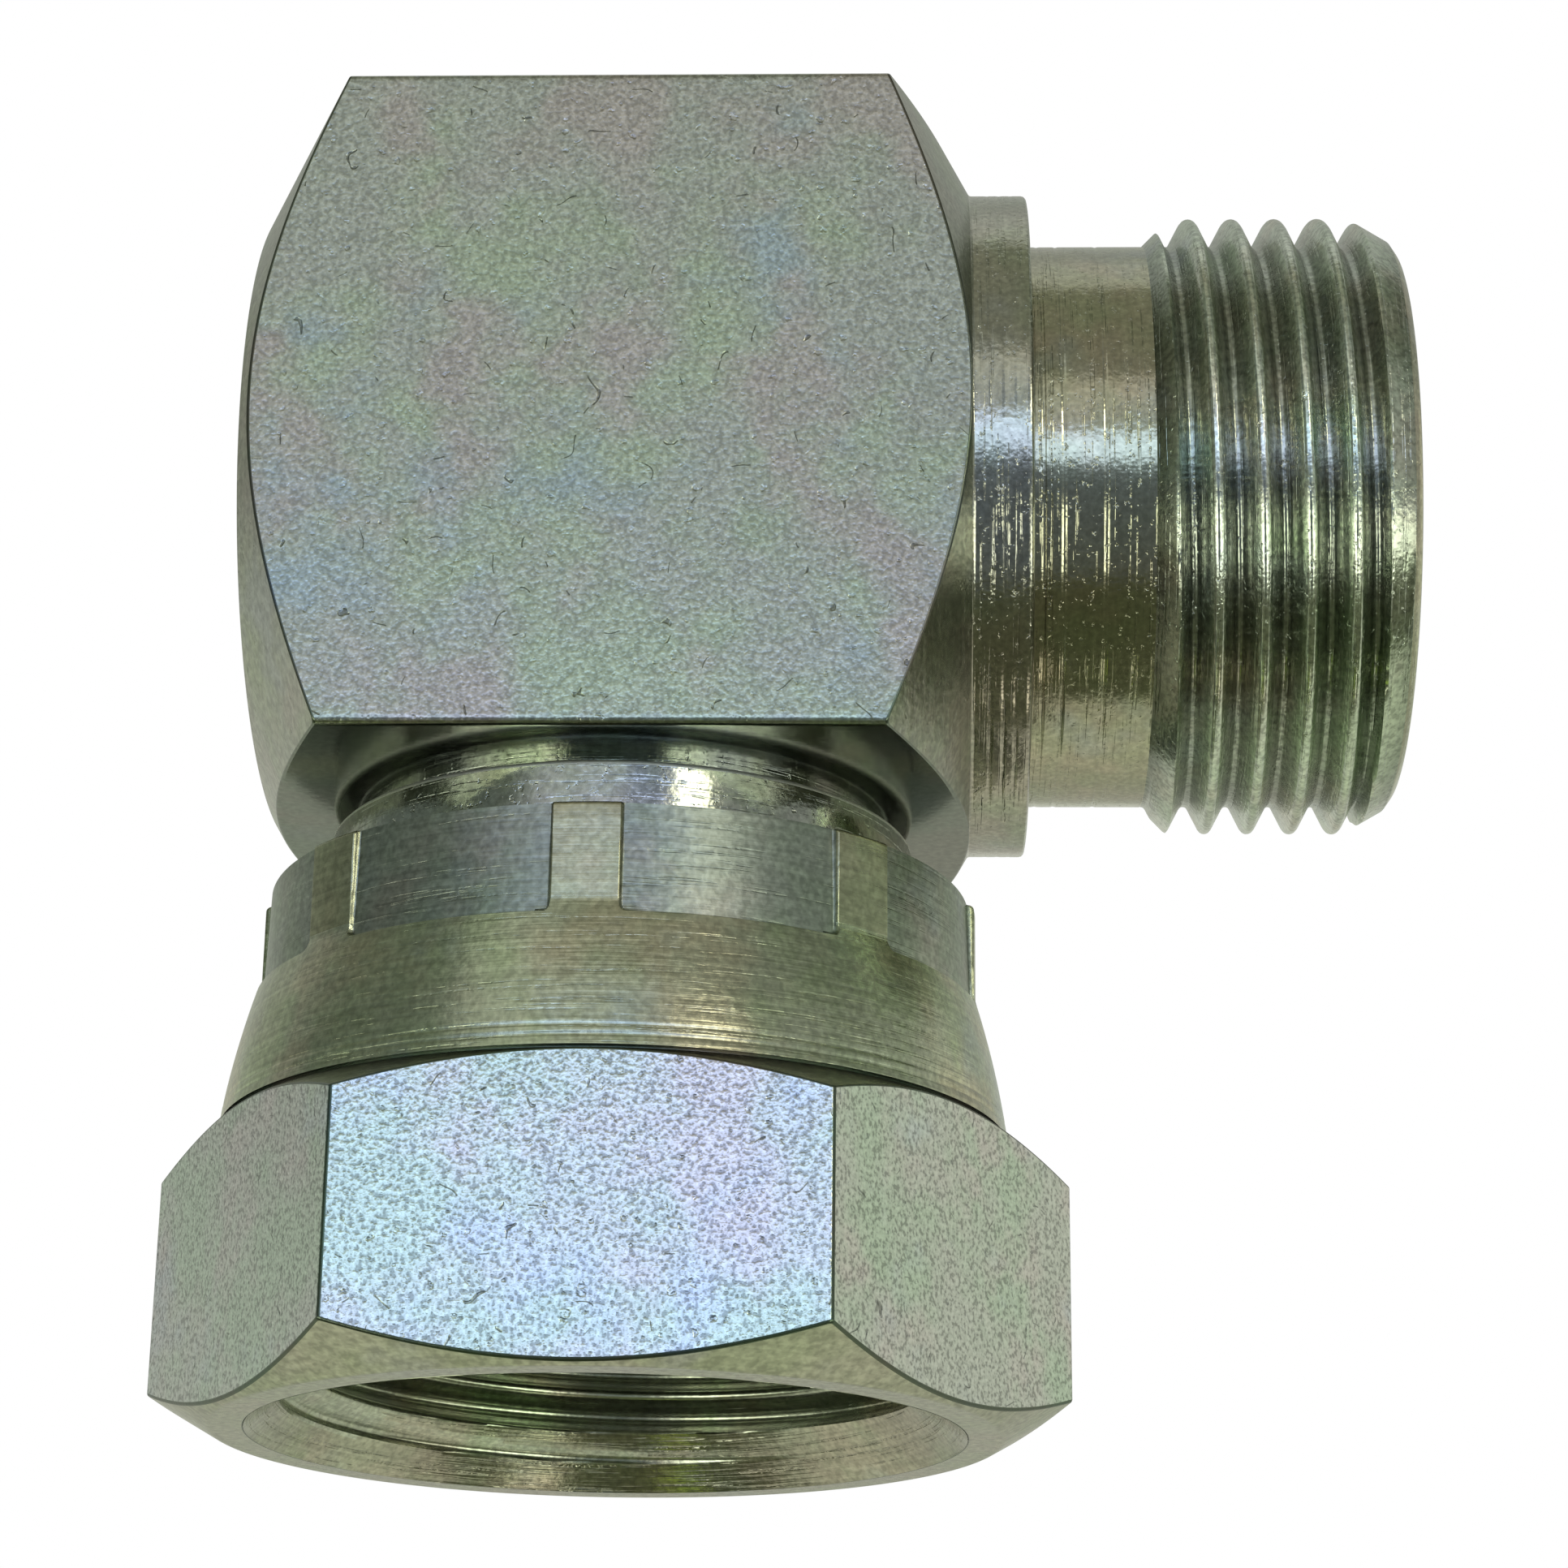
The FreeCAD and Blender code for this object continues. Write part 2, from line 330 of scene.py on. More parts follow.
def zinc(name, colour, green, pink, blue, rough, axis="X", grain=(0.0, 3.0), speck=(0.0, 0.0), lines=0.0,
         grooves=0.0, pits=(0.0, 2.2), scratches=0.0, painted_root_shade=None):
    """Zinc plate with a clear passivation: a grey base in which thin film colours drift to green, to a
    pinkish grey and to a cool blue over 3 to 6 mm. The relief, in mm of depth, has a grain (depth, number
    per mm), tool lines round the axis, broken grooves beside them, a few pits (depth, number per mm) and
    short curved scratches. The specks (dark share, light share) are the grain's pits and tops seen in the
    colour. The last argument (low radius, high radius, share) darkens what lies deep in a thread: painted
    shade in the thread's roots, with some grime."""
    material = bpy.data.materials.new(name)
    material.use_nodes = True
    material.node_tree.nodes.clear()
    base = Socket(material.node_tree)
    raw = base.node("ShaderNodeTexCoord", output="Object")
    at = base.node("ShaderNodeMapping", {}, {"Vector": raw, "Scale": (1000.0, 1000.0, 1000.0)})
    x, y, z = at.parts()
    depth, per_mm = grain
    fine = at.noise(per_mm, 1.5)
    across, height, along = (y, z - stud_axis_height, x) if axis == "X" else (x, y, z)
    radius = (across * across + height * height) ** 0.5
    lines_per_mm = 5.0
    drift_round = 0.15             # how fast the lines change on their way round the axis, per mm
    section_place = base.node("ShaderNodeCombineXYZ", {}, {
        "X": radius * lines_per_mm, "Y": along * lines_per_mm, "Z": across * drift_round})
    marks = section_place.noise(1.0, 3.0, height * drift_round)
    films = [(green, 0.17, 3.0, 0.42, 0.62),
             (pink, 0.20, 7.0, 0.46, 0.66),
             (blue, 0.18, 11.0, 0.52, 0.72)]
    tinted = (*colour, 1.0)
    for film, scale, other, low, high in films:
        tinted = at.noise(scale, 3.0, other).between(low, high).blend(tinted, (*film, 1.0))
    line_shade = min(lines * 90.0, 0.9)
    grain_shade = 0.25
    shade = 1.0 + (marks - 0.5) * line_shade + (fine - 0.5) * grain_shade
    if speck[0] or speck[1]:
        dark = 1.0 - fine.between(0.38, 0.50)
        light = fine.between(0.52, 0.64)
        shade = shade * (1.0 - dark * speck[0] + light * speck[1])
    relief = fine * depth + marks * lines
    if grooves:                    # rings that the tool cut, shallower in places along their way
        cut = section_place.noise(1.3, 2.0, height * 0.1 + 4.0).between(0.56, 0.66)
        broken = at.noise(3.5, 1.0, 9.0).between(0.38, 0.56) + 0.3
        relief = relief - cut * broken * grooves
    if pits[0]:
        relief = relief - at.noise(pits[1], 2.0, 5.0).between(0.62, 0.72) * pits[0]
    if scratches:                  # a hair line runs where a slow noise crosses its middle value
        crossing = base.maths("ABSOLUTE", at.noise(0.6, 0.5, 13.0) - 0.5)
        hair = (1.0 - crossing.between(0.002, 0.008)) * at.noise(1.0, 1.0, 17.0).between(0.60, 0.63)
        hair_shade = 0.5
        relief = relief - hair * scratches
        shade = shade * (1.0 - hair * hair_shade)
    # painted shade: what lies deep in a thread is darker by its radius, with some grime
    if painted_root_shade:
        low, high, share = painted_root_shade
        shade = shade * (1.0 - (1.0 - radius.between(low, high)) * share)
    bump = base.node("ShaderNodeBump", {}, {"Height": relief * mm, "Strength": 1.0, "Distance": 1.0})
    line_roughness = 0.08
    surface = base.node("ShaderNodeBsdfPrincipled", {}, {
        "Base Color": tinted.times(shade), "Metallic": 1.0,
        "Roughness": rough + (marks - 0.5) * line_roughness, "Normal": bump})
    base.node("ShaderNodeOutputMaterial", {}, {"Surface": surface})
    return material


(drawn_flat, faced_flat_painted_dark, cone_face, collar_turned, stud_turned, stud_thread_face, bore_face,
 body_edge_painted_dark) = range(8)
body_finishes = [
    zinc("zinc_on_drawn_flats", (0.330, 0.348, 0.300), (0.325, 0.378, 0.275), (0.355, 0.332, 0.300),
         (0.300, 0.355, 0.350), 0.25, grain=(0.020, 5.0), speck=(0.22, 0.22), pits=(0.014, 2.2),
         scratches=0.020),
    # darker than the drawn flats: painted shade on the face that looks down
    zinc("zinc_on_underside_painted_shade", (0.195, 0.22, 0.18), (0.18, 0.22, 0.17), (0.21, 0.21, 0.18),
         (0.195, 0.215, 0.20), 0.13, grain=(0.003, 3.2), speck=(0.1, 0.1)),
    zinc("zinc_on_turned_cones", (0.305, 0.320, 0.265), (0.295, 0.330, 0.235), (0.325, 0.315, 0.27),
         (0.300, 0.320, 0.30), 0.26, grain=(0.020, 3.0), speck=(0.14, 0.14), lines=0.004,
         pits=(0.010, 2.2)),
    zinc("zinc_on_collar", (0.375, 0.37, 0.31), (0.35, 0.375, 0.29), (0.40, 0.37, 0.32),
         (0.36, 0.37, 0.36), 0.16, grain=(0.012, 4.0), speck=(0.12, 0.14), lines=0.003, grooves=0.013,
         pits=(0.012, 4.5)),
    zinc("zinc_on_stud", (0.375, 0.368, 0.275), (0.360, 0.373, 0.258), (0.405, 0.365, 0.28),
         (0.355, 0.37, 0.335), 0.14, grain=(0.010, 4.0), speck=(0.10, 0.12), lines=0.003, grooves=0.014,
         pits=(0.012, 4.5)),
    # lighter than the rest of the stud: partly painted light on the thread, with painted shade in its roots
    zinc("zinc_on_stud_thread_painted_light", (0.53, 0.57, 0.49), (0.49, 0.57, 0.44), (0.56, 0.55, 0.46),
         (0.50, 0.55, 0.53), 0.20, grain=(0.014, 4.0), speck=(0.24, 0.15), lines=0.003, grooves=0.014,
         pits=(0.018, 3.5), painted_root_shade=(12.0, 12.9, 0.42)),
    zinc("zinc_in_bores", (0.38, 0.40, 0.33), (0.36, 0.40, 0.29), (0.40, 0.38, 0.31),
         (0.37, 0.39, 0.35), 0.34, grain=(0.006, 3.0), lines=0.006),
    # near black on the broken edges and the collar's inner corner: painted shade for the dark lines these
    # edges show
    zinc("zinc_on_body_edges_painted_dark", (0.10, 0.11, 0.085), (0.09, 0.12, 0.08), (0.12, 0.11, 0.09),
         (0.09, 0.11, 0.12), 0.28, grain=(0.01, 3.0)),
]

_, _, bar_edge_reach = edge_circle(bar_sides, block_across_flats, bar_edge_round)
bar_edges = prism_edges(bar_sides, bar_first_flat)
body_angles = columns(240, bar_edges, math.degrees(bar_edge_reach) * round_steps)
bar_radius = flat_sided(body_angles, bar_sides, block_across_flats, bar_first_flat, bar_edge_round)


def stud_radius(place, phase):
    """The thread, held below the start chamfer of 45 degrees and the long chamfer at the tip."""
    fade = np.clip((place - thread_run_out) / thread_run_out_length, 0.0, 1.0)
    left = 1.0 - fade * fade * (3 - 2 * fade)
    cut = thread_crest_radius - (thread_depth - thread_height(phase)) * left
    start_chamfer = neck_radius + place - thread_start
    slope = (thread_crest_radius - tip_chamfer_radius) / (tip_chamfer_end - tip_chamfer_start)
    tip_chamfer = thread_crest_radius - (place - tip_chamfer_start) * slope
    return np.minimum(cut, np.minimum(start_chamfer, tip_chamfer))


def tool_grooves(grooves, radius, finish):
    """Corners of the shallow grooves (place, depth) that a worn tool left round a turned face."""
    half = tool_groove_width / 2
    corners = []
    for place, depth in grooves:
        corners += [(place - half, radius, tool_groove_edge_break, finish),
                    (place, radius - depth, tool_groove_foot_round, finish),
                    (place + half, radius, tool_groove_edge_break, finish)]
    return corners


straight_down = 270.0
underneath = np.abs(body_angles - straight_down) < 180.0 / bar_sides
bar_finish = np.where(underneath, faced_flat_painted_dark, drawn_flat)
bar_edge_finish = np.where(underneath, faced_flat_painted_dark, body_edge_painted_dark)
closed_cone_end = -closed_end_reach + (bar_radius - closed_end_radius) * end_cone_slope
stud_cone_start = stud_end_reach - (bar_radius - collar_radius) * end_cone_slope
body_rows = profile([
    (-closed_end_reach, 0.0, 0, cone_face),
    (-closed_end_reach, closed_end_radius, edge_break, cone_face),
    (closed_cone_end, bar_radius, edge_break, bar_finish, bar_edge_finish),
    (stud_cone_start, bar_radius, edge_break, cone_face, bar_edge_finish),
    (stud_end_reach, collar_radius, foot_round, collar_turned),
    *tool_grooves(collar_grooves, collar_radius, collar_turned),
    (collar_face, collar_radius, collar_edge_break, collar_turned),
    (collar_face, neck_radius, foot_round, stud_turned, body_edge_painted_dark),
    *tool_grooves(neck_grooves, neck_radius, stud_turned),
    (thread_start, neck_radius, 0, stud_turned),
], body_angles)
body_rows += thread(thread_start, tip_chamfer_end, stud_thread_phase, stud_radius, body_angles,
                    stud_thread_face, thread_samples(3, 4))
body_rows += profile([
    (tip_chamfer_end, tip_chamfer_radius, 0, stud_turned),
    (stud_end, stud_face_radius, stud_face_break, stud_turned),
    (stud_end, stud_cone_radius, stud_cone_break, stud_turned),
    (stud_cone_foot, stud_bore_radius, stud_cone_break, bore_face),
    (stud_bore_end, stud_bore_radius, 0, bore_face),
    (stud_bore_end - stud_drill_tip, 0.0, 0, bore_face),
], body_angles)
elbow_body = turned("elbow_body_plated", body_rows, body_angles, "X", body_finishes, False,
                    stud_axis_height)

bore_angles = columns(96)
upright_rows = profile([
    (underside_height - cutter_overrun, 0.0, 0, bore_face),
    (underside_height - cutter_overrun, socket_radius, 0, bore_face),
    (socket_top, socket_radius, 0, bore_face),
    (socket_top, upright_bore_radius, 0, bore_face),
    (upright_bore_top, upright_bore_radius, 0, bore_face),
    (upright_bore_top + upright_drill_tip, 0.0, 0, bore_face),
], bore_angles)
upright_bore = turned("upright_bore_cutter", upright_rows, bore_angles, "Z", body_finishes, False)
drilling = elbow_body.modifiers.new("drilling", "BOOLEAN")
drilling.operation = "DIFFERENCE"
drilling.solver = "EXACT"
drilling.object = upright_bore
evaluated = elbow_body.evaluated_get(bpy.context.evaluated_depsgraph_get())
drilled = bpy.data.meshes.new_from_object(evaluated)
elbow_body.modifiers.clear()
elbow_body.data = drilled
bpy.data.objects.remove(upright_bore)
close_up(elbow_body.data)
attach(elbow_body, "elbow")
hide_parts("elbow_body")

# Swivel tail: a nipple turned from round bar, brazed into the block's underside. Only its ring shows,
# between the block and the nut; inside the nut it has a back shoulder, a head and a 60 degree cone nose.
ring_radius = 12.06
ring_top = 24.3
ring_edge_break = 0.2
neck_in_gap_radius = 11.0
neck_foot_round = 0.1
spigot_radius = 9.47
spigot_top = 29.2
head_radius = 13.0
head_top = 19.12
head_front_break = 0.2
head_back_break = 0.1
shoulder_top = 20.06
cone_tip = 12.4
cone_tip_radius = 8.9
cone_tip_break = 0.08
cone_root = 16.557
cone_root_radius = 11.3
cone_root_round = 0.05
tail_bore_radius = 7.5
tail_bore_break = 0.2

tail_outside, tail_inside, ring_edge_painted_highlight = range(3)
tail_finishes = [
    zinc("zinc_on_tail", (0.36, 0.38, 0.33), (0.34, 0.38, 0.28), (0.39, 0.38, 0.37), (0.35, 0.37, 0.38),
         0.13, "Z", grain=(0.008, 3.6), speck=(0.15, 0.15), lines=0.002, grooves=0.006,
         pits=(0.012, 3.5)),
    zinc("zinc_in_tail_bore", (0.30, 0.32, 0.26), (0.28, 0.32, 0.22), (0.32, 0.30, 0.24),
         (0.30, 0.32, 0.28), 0.34, "Z", grain=(0.006, 3.0), lines=0.006),
    # near white on the ring's top edge: a painted highlight, the light line along that edge
    zinc("zinc_on_ring_edge_painted_highlight", (0.85, 0.85, 0.78), (0.80, 0.84, 0.72), (0.88, 0.84, 0.78),
         (0.80, 0.84, 0.84), 0.48, "Z", grain=(0.006, 3.6)),
]
tail_angles = columns(240)
tail_rows = profile([
    (cone_tip, cone_tip_radius, cone_tip_break, tail_outside),
    (cone_root, cone_root_radius, cone_root_round, tail_outside),
    (cone_root, head_radius, head_front_break, tail_outside),
    (head_top, head_radius, head_back_break, tail_outside),
    (shoulder_top, ring_radius, 0, tail_outside),
    (ring_top, ring_radius, ring_edge_break, tail_outside, ring_edge_painted_highlight),
    (ring_top, neck_in_gap_radius, neck_foot_round, tail_outside),
    (underside_height, neck_in_gap_radius, 0, tail_outside),
    (underside_height, spigot_radius, 0, tail_outside),
    (spigot_top, spigot_radius, 0, tail_outside),
    (spigot_top, tail_bore_radius, 0, tail_inside),
    (cone_tip, tail_bore_radius, tail_bore_break, tail_outside),
], tail_angles)
swivel_tail = turned("swivel_tail_plated", tail_rows, tail_angles, "Z", tail_finishes, True)
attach(swivel_tail, "elbow")
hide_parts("swivel_tail")

# Swivel nut: cut from drawn hexagon bar, bored and threaded G 3/4 from its mouth, its thin skirt crimped
# over the tail's shoulder by eight jaws. The jaws leave shallow dents with narrow ribs between them.
nut_sides = 6
nut_side_angle = 360.0 / nut_sides
nut_first_flat = 30.0
nut_across_flats = 32.0
nut_edge_round = 0.2
mouth_face_radius = 15.72
top_face_radius = 15.92
hexagon_height = 11.7
hexagon_chamfer_slope = math.tan(math.radians(30))
hexagon_foot_break = 0.10
hexagon_top_break = 0.06
groove_radius = 15.75
groove_top = 11.82
flare_foot_radius = 15.98
flare_bulge = 0.13
flare_marks = [12.2, 12.6]     # places of two grooves that the tool left
flare_mark_depth = 0.03
flare_mark_width = 0.24
skirt_foot = 17.75
skirt_radius = 14.69
skirt_first_step = 0.15        # from the flare's end to the first row of the straight skirt
rim_height = 21.7
rim_round = 0.2
jaw_count = 8
jaw_rib_width = 2.7
first_rib_angle = -90.9
dent_depth_at_rim = 0.29
dent_depth_at_foot = 0.17
dent_foot = 17.35
dent_corner_round = 0.3
dent_wall_width = 0.12
dent_wall_reach = 0.42         # degrees that the close columns reach on each side of a wall
mouth_bevel_radius = 14.3
mouth_bevel_break = 0.06
nut_thread_minor_radius = 12.06
nut_thread_end = 12.1
nut_thread_fade = 1.3          # length over which the tap's lead makes the last turn shallower
nut_thread_phase = 0.89        # share of a turn from +X to where the inner crest crosses z = 0
chamber_radius = 13.08
chamber_foot = 13.12
chamber_top = 19.16
lip_radius = 12.14
lip_foot = 20.1
lip_edge_break = 0.06

(nut_flat, nut_chamfer, nut_skirt, nut_rib, nut_dent_painted_dark, nut_bevel, nut_thread_face, nut_inside,
 nut_edge_painted_dark) = range(9)
nut_finishes = [
    zinc("zinc_on_hexagon", (0.430, 0.455, 0.425), (0.395, 0.475, 0.395), (0.465, 0.440, 0.435),
         (0.405, 0.450, 0.490), 0.19, "Z", grain=(0.024, 5.2), speck=(0.42, 0.14), pits=(0.012, 2.2),
         scratches=0.012),
    zinc("zinc_on_hexagon_chamfers", (0.380, 0.385, 0.30), (0.355, 0.385, 0.27), (0.40, 0.375, 0.31),
         (0.370, 0.38, 0.34), 0.26, "Z", grain=(0.014, 3.0), speck=(0.18, 0.16), lines=0.006),
    zinc("zinc_on_skirt", (0.42, 0.445, 0.335), (0.385, 0.445, 0.29), (0.45, 0.425, 0.31),
         (0.395, 0.44, 0.39), 0.26, "Z", grain=(0.010, 3.4), speck=(0.14, 0.14), lines=0.020,
         grooves=0.008),
    zinc("zinc_on_ribs", (0.345, 0.350, 0.235), (0.32, 0.35, 0.22), (0.37, 0.34, 0.23),
         (0.335, 0.345, 0.26), 0.28, "Z", grain=(0.010, 3.4), speck=(0.14, 0.14), lines=0.012),
    # darker than the ribs and the skirt: partly painted shade in the pressed dents
    zinc("zinc_in_jaw_dents_painted_shade", (0.255, 0.283, 0.246), (0.24, 0.285, 0.22), (0.27, 0.27, 0.24),
         (0.245, 0.283, 0.28), 0.36, "Z", grain=(0.010, 3.4), speck=(0.16, 0.16), lines=0.014,
         grooves=0.008),
    zinc("zinc_on_mouth_bevel", (0.375, 0.385, 0.30), (0.350, 0.385, 0.26), (0.40, 0.37, 0.30),
         (0.360, 0.38, 0.33), 0.17, "Z", grain=(0.008, 3.6), speck=(0.15, 0.12), lines=0.036,
         grooves=0.022),
    zinc("zinc_in_nut_thread", (0.43, 0.46, 0.375), (0.40, 0.465, 0.33), (0.46, 0.44, 0.355),
         (0.41, 0.45, 0.395), 0.26, "Z", grain=(0.010, 3.6), speck=(0.15, 0.15), lines=0.010),
    zinc("zinc_inside_nut", (0.42, 0.45, 0.37), (0.40, 0.45, 0.33), (0.44, 0.42, 0.35),
         (0.41, 0.44, 0.40), 0.34, "Z", grain=(0.006, 3.0), lines=0.006),
    # near black on the broken edges, the hexagon's top face and the groove under the skirt: painted shade
    zinc("zinc_on_nut_edges_painted_dark", (0.10, 0.12, 0.09), (0.09, 0.13, 0.09), (0.12, 0.11, 0.09),
         (0.08, 0.11, 0.12), 0.28, "Z", grain=(0.01, 3.0)),
]

jaw_pitch = 360.0 / jaw_count
rib_half_angle = math.degrees(jaw_rib_width / skirt_radius) / 2
rib_walls = np.concatenate([first_rib_angle + np.arange(jaw_count) * jaw_pitch + side * rib_half_angle
                            for side in (-1, 1)])
wall_steps = np.linspace(-dent_wall_reach, dent_wall_reach, 7)
_, _, nut_edge_reach = edge_circle(nut_sides, nut_across_flats, nut_edge_round)
nut_edges = prism_edges(nut_sides, nut_first_flat)
near = np.concatenate([np.add.outer(nut_edges, math.degrees(nut_edge_reach) * round_steps).ravel(),
                       np.add.outer(rib_walls, wall_steps).ravel()])
nut_angles = columns(216, near, [0.0])
hexagon_radius = flat_sided(nut_angles, nut_sides, nut_across_flats, nut_first_flat, nut_edge_round)


def dent_share(place):
    """1 in a jaw's dent and 0 outside, with a soft wall: from the distance to a rectangle with two round
    corners at its foot, measured along the skirt and up the axis."""
    from_middle = (nut_angles - first_rib_angle) % jaw_pitch - jaw_pitch / 2
    half_width = math.radians(jaw_pitch / 2 - rib_half_angle) * skirt_radius
    beside = np.abs(np.radians(from_middle)) * skirt_radius - half_width + dent_corner_round
    below = dent_foot - place + dent_corner_round
    past_round = np.hypot(np.maximum(beside, 0.0), max(below, 0.0))
    distance = past_round + np.minimum(np.maximum(beside, below), 0.0) - dent_corner_round
    share = np.clip(0.5 - distance / dent_wall_width, 0.0, 1.0)
    return share * share * (3 - 2 * share)


def skirt_rows(places, radii, finish):
    """Rows of the turned skirt, pressed in to the jaws' slightly tapered surface where a dent lies."""
    rows = []
    for place, radius in zip(places, radii):
        rise = (place - dent_foot) / (rim_height - dent_foot)
        pressed = skirt_radius - dent_depth_at_foot - (dent_depth_at_rim - dent_depth_at_foot) * rise
        share = dent_share(place)
        here = radius - np.maximum(radius - pressed, 0.0) * share
        rows.append((np.array([np.full_like(nut_angles, place), here]),
                     np.where(share > 0.5, nut_dent_painted_dark, finish)))
    return rows


def nut_thread_radius(place, phase):
    """The inner thread, deepest where the phase is half a pitch from a crest, held outside the mouth's
    bevel of 45 degrees and fading out at its inner end."""
    fade = np.clip((nut_thread_end - place) / nut_thread_fade, 0.0, 1.0)
    cut = nut_thread_minor_radius + (thread_depth - thread_height(phase)) * fade
    return np.maximum(cut, mouth_bevel_radius - place)


flare_share = np.linspace(0.0, 1.0, 13)
flare_places = groove_top + (skirt_foot - groove_top) * flare_share
flare_radii = (flare_foot_radius + (skirt_radius - flare_foot_radius) * flare_share
               + flare_bulge * 4 * flare_share * (1 - flare_share))
dent_places = dent_foot + np.array([-0.12, -0.06, 0.0, 0.06, 0.12, 0.2, 0.3])
mark_steps = np.linspace(-flare_mark_width / 2, flare_mark_width / 2, 5)
mark_places = np.add.outer(flare_marks, mark_steps).ravel()
flare_steps = np.unique(np.round(np.concatenate([flare_places, dent_places, mark_places]), 6))
flare_at = np.interp(flare_steps, flare_places, flare_radii)
from_mark = np.abs(np.subtract.outer(flare_steps, flare_marks)).min(axis=1)
flare_at -= flare_mark_depth * np.clip(1.0 - 2 * from_mark / flare_mark_width, 0.0, 1.0)
straight_steps = np.linspace(skirt_foot + skirt_first_step, rim_height - rim_round, 8)
rim_turn = np.radians([15.0, 30.0, 45.0, 60.0, 75.0, 90.0])
rim_places = rim_height - rim_round * (1.0 - np.sin(rim_turn))
rim_radii = skirt_radius - rim_round * (1.0 - np.cos(rim_turn))
from_edge = np.abs((nut_angles + nut_side_angle / 2) % nut_side_angle - nut_side_angle / 2)
hexagon_finish = np.where(from_edge < math.degrees(nut_edge_reach), nut_edge_painted_dark, nut_flat)
mouth_chamfer_end = (hexagon_radius - mouth_face_radius) * hexagon_chamfer_slope
top_chamfer_start = hexagon_height - (hexagon_radius - top_face_radius) * hexagon_chamfer_slope
nut_rows = profile([
    (0.0, mouth_bevel_radius, mouth_bevel_break, nut_chamfer, nut_edge_painted_dark),
    (0.0, mouth_face_radius, hexagon_foot_break, nut_chamfer),
    (mouth_chamfer_end, hexagon_radius, hexagon_foot_break, hexagon_finish, nut_edge_painted_dark),
    (top_chamfer_start, hexagon_radius, hexagon_top_break, nut_chamfer, nut_edge_painted_dark),
    (hexagon_height, top_face_radius, 0, nut_edge_painted_dark),
    (hexagon_height, groove_radius, 0, nut_edge_painted_dark),
    (groove_top, groove_radius, 0, nut_edge_painted_dark),
], nut_angles)
nut_rows += skirt_rows(flare_steps, flare_at, nut_skirt)
nut_rows += skirt_rows(straight_steps, np.full_like(straight_steps, skirt_radius), nut_rib)
nut_rows += skirt_rows(rim_places, rim_radii, nut_rib)
nut_rows += profile([
    (rim_height, lip_radius, lip_edge_break, nut_inside),
    (lip_foot, lip_radius, 0, nut_inside),
    (chamber_top, chamber_radius, 0, nut_inside),
    (chamber_foot, chamber_radius, 0, nut_inside),
    (nut_thread_end, nut_thread_minor_radius, 0, nut_thread_face),
], nut_angles)
inner_turns = thread(0.0, nut_thread_end, nut_thread_phase, nut_thread_radius, nut_angles, nut_thread_face,
                     thread_samples(3, 3))[::-1]
off_bevel = 0.005              # a point farther than this from the bevel's cone belongs to the thread
nut_rows += [((place, radius),
              np.where(place + radius > mouth_bevel_radius + off_bevel, nut_thread_face, nut_bevel))
             for (place, radius), _ in inner_turns]
swivel_nut = turned("swivel_nut_plated", nut_rows, nut_angles, "Z", nut_finishes, True)
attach(swivel_nut, "nut")
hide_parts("swivel_nut")

# Floor: a pale sheet level with the nut's mouth. It has one side only, so that the camera, which looks up
# from below it, sees the fitting through it; from above it is near white and keeps the shadow.
half_floor = 2.0
floor_mesh = bpy.data.meshes.new("floor")
floor_mesh.from_pydata([(-half_floor, -half_floor, 0), (half_floor, -half_floor, 0),
                        (half_floor, half_floor, 0), (-half_floor, half_floor, 0)], [], [(0, 1, 2, 3)])
floor = bpy.data.objects.new("floor", floor_mesh)
bpy.context.scene.collection.objects.link(floor)
floor_paint = bpy.data.materials.new("pale_floor")
floor_paint.use_nodes = True
floor_paint.node_tree.nodes.clear()
base = Socket(floor_paint.node_tree)
from_below = base.node("ShaderNodeNewGeometry", output="Backfacing")
seen = base.node("ShaderNodeLightPath", output="Is Camera Ray")
white = base.node("ShaderNodeBsdfDiffuse", {}, {"Color": (0.8, 0.8, 0.8, 1.0)})
lift = base.node("ShaderNodeEmission", {}, {"Color": (1.0, 1.0, 1.0, 1.0), "Strength": 0.35})
sheet = base.node("ShaderNodeAddShader", {}, {0: white, 1: lift})
clear = base.node("ShaderNodeBsdfTransparent")
shown = base.node("ShaderNodeMixShader", {}, {0: seen * (1.0 - from_below), 1: clear, 2: sheet})
base.node("ShaderNodeOutputMaterial", {}, {"Surface": shown})
floor_mesh.materials.append(floor_paint)

# Light: a white room for the camera. What the plating mirrors is a studio: a pale rear wall and top, dark
# screens above and below a wide cool softbox in front, dark screens and low bright strips at the sides,
# and a few small lamps.
world = bpy.data.worlds.new("studio")
bpy.context.scene.world = world
world.use_nodes = True
world.node_tree.nodes.clear()
base = Socket(world.node_tree)
towards = base.node("ShaderNodeTexCoord", output="Generated")
east, north, up = towards.parts()
sweep = base.maths("ARCTAN2", up, 0.0 - north) / (2 * math.pi) + 0.5


def turn_share(degrees):
    """Place on the ramp of a direction so many degrees up from the front's horizon, over the top."""
    return (degrees + 180.0) / 360.0


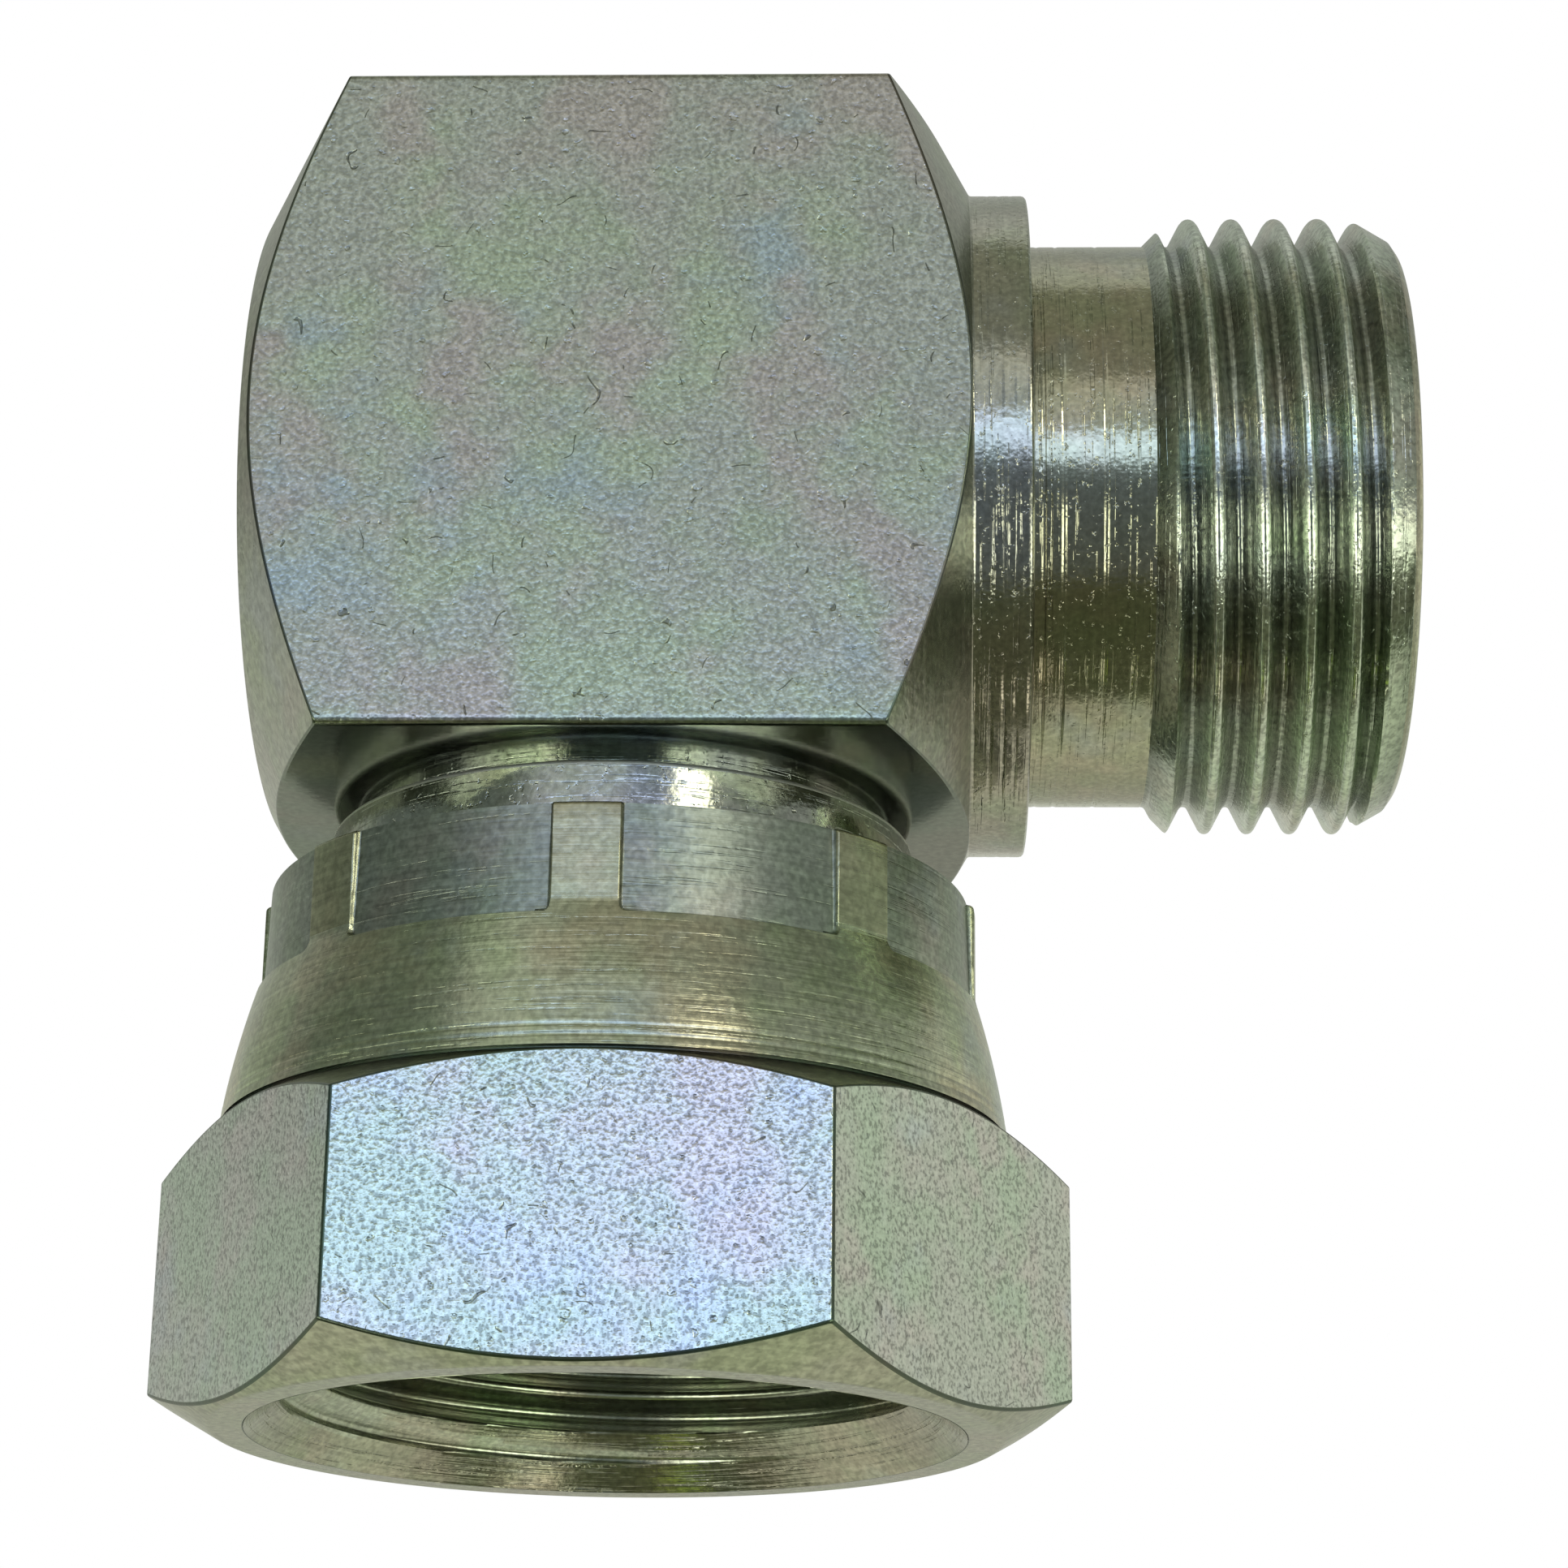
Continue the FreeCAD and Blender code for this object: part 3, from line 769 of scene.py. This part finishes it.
dark_screen = (0.115, 0.127, 0.072)
softbox = (1.72, 2.08, 2.95)
room = base.node("ShaderNodeValToRGB", {"stops": [
    (turn_share(-180), (0.52, 0.53, 0.46)),
    (turn_share(-150), (0.57, 0.59, 0.49)),
    (turn_share(-126), (0.76, 0.78, 0.62)),
    (turn_share(-100), (0.66, 0.68, 0.55)),
    (turn_share(-94), dark_screen),
    (turn_share(-46), dark_screen),
    (turn_share(-40), (0.15, 0.17, 0.16)),
    (turn_share(-4), (0.17, 0.205, 0.25)),
    (turn_share(3), (0.30, 0.36, 0.44)),
    (turn_share(5), softbox),
    (turn_share(14.8), softbox),
    (turn_share(16.6), (0.68, 0.72, 0.74)),
    (turn_share(22), (0.72, 0.76, 0.74)),
    (turn_share(27), (0.84, 0.89, 0.85)),
    (turn_share(38), (0.80, 0.80, 0.70)),
    (turn_share(41), (0.34, 0.35, 0.28)),
    (turn_share(89), (0.34, 0.35, 0.27)),
    (turn_share(93), (0.72, 0.74, 0.68)),
    (turn_share(108), (0.66, 0.68, 0.64)),
    (turn_share(121), (0.44, 0.46, 0.42)),
    (turn_share(152), (0.44, 0.46, 0.41)),
    (turn_share(164), (0.64, 0.66, 0.58)),
    (turn_share(180), (0.70, 0.72, 0.63)),
]}, {"Fac": sweep})


def aim(azimuth, elevation):
    """Direction so many degrees to the right of the front and above the horizon."""
    level, rise = math.radians(azimuth), math.radians(elevation)
    return Vector((math.sin(level) * math.cos(rise), -math.cos(level) * math.cos(rise), math.sin(rise)))


def with_spots(behind, spots):
    """The colours 'behind' with round spots laid over them. Each spot is (azimuth, elevation, inner and
    outer radius in degrees, colour): full within the inner radius, none beyond the outer."""
    for azimuth, elevation, inner, outer, colour in spots:
        closeness = base.node("ShaderNodeVectorMath", {"operation": "DOT_PRODUCT"},
                              {0: towards, 1: aim(azimuth, elevation)}, output=1)
        inside = closeness.between(math.cos(math.radians(outer)), math.cos(math.radians(inner)))
        behind = inside.blend(behind, (*colour, 1.0))
    return behind


room = with_spots(room, [
    (-72, 20, 24, 48, (0.19, 0.22, 0.19)),          # large dark screen to the left
    (62, 26, 22, 40, (0.41, 0.44, 0.40)),           # large grey screen to the right
    (-90, 52, 14, 27, (0.20, 0.22, 0.17)),          # smaller dark ones above them
    (90, 52, 14, 27, (0.20, 0.22, 0.17)),
    (46, 39, 6, 15, (0.27, 0.29, 0.25)),            # small screens and the gaps between them
    (-33, 37, 8, 16, (0.74, 0.77, 0.68)),
    (-130, 24, 5, 11, (0.42, 0.43, 0.37)),
    (122, 11, 10, 18, (0.84, 0.86, 0.72)),
    (14, 23, 5, 10, (0.36, 0.41, 0.46)),
])
aside = base.maths("ABSOLUTE", east)
above_foot = sweep.between(turn_share(-44), turn_share(-38))
below_top = 1.0 - sweep.between(turn_share(-16), turn_share(-11))
side_strips = above_foot * below_top * aside.between(0.32, 0.42) * (1.0 - aside.between(0.60, 0.70) * 0.4)
room = side_strips.blend(room, (4.0, 4.1, 3.3, 1.0))
room = with_spots(room, [
    (31, 19.5, 5, 7.5, (6.6, 6.4, 4.9)),            # warm lamp, seen in the ring as a yellow spot
    (66, -74, 4, 7, (1.8, 1.75, 1.35)),             # lamps under the fitting, seen in the nut's mouth
    (-63, -74.5, 3, 5, (0.65, 0.85, 0.15)),
])
camera_ray = base.node("ShaderNodeLightPath", output="Is Camera Ray")
sky = camera_ray.blend(room, (1.0, 1.0, 1.0, 1.0))
backdrop = base.node("ShaderNodeBackground", {}, {"Color": sky})
base.node("ShaderNodeOutputWorld", {}, {"Surface": backdrop})

# Camera: below the fitting and in front of it, as the photograph was taken, looking a little upwards and
# turned slightly about its line of sight.
camera_place = Vector((0.011786, -0.146858, -0.024114))
view_azimuth = math.radians(1.983)
view_elevation = math.radians(-19.355)
view_roll = math.radians(0.729)
back = Vector((math.sin(view_azimuth) * math.cos(view_elevation),
               -math.cos(view_azimuth) * math.cos(view_elevation), math.sin(view_elevation)))
level = (-back).cross(Vector((0.0, 0.0, 1.0))).normalized()
upright = level.cross(-back)
right = math.cos(view_roll) * level + math.sin(view_roll) * upright
above = -math.sin(view_roll) * level + math.cos(view_roll) * upright
lens = bpy.data.cameras.new("camera")
lens.sensor_width = 36.0
lens.lens = 85.06
lens.clip_start = 0.01
camera = bpy.data.objects.new("camera", lens)
turned_view = Matrix((right, above, back)).transposed().to_4x4()
camera.matrix_world = Matrix.Translation(camera_place) @ turned_view
bpy.context.scene.collection.objects.link(camera)
bpy.context.scene.camera = camera

bpy.context.scene.view_settings.view_transform = "Standard"
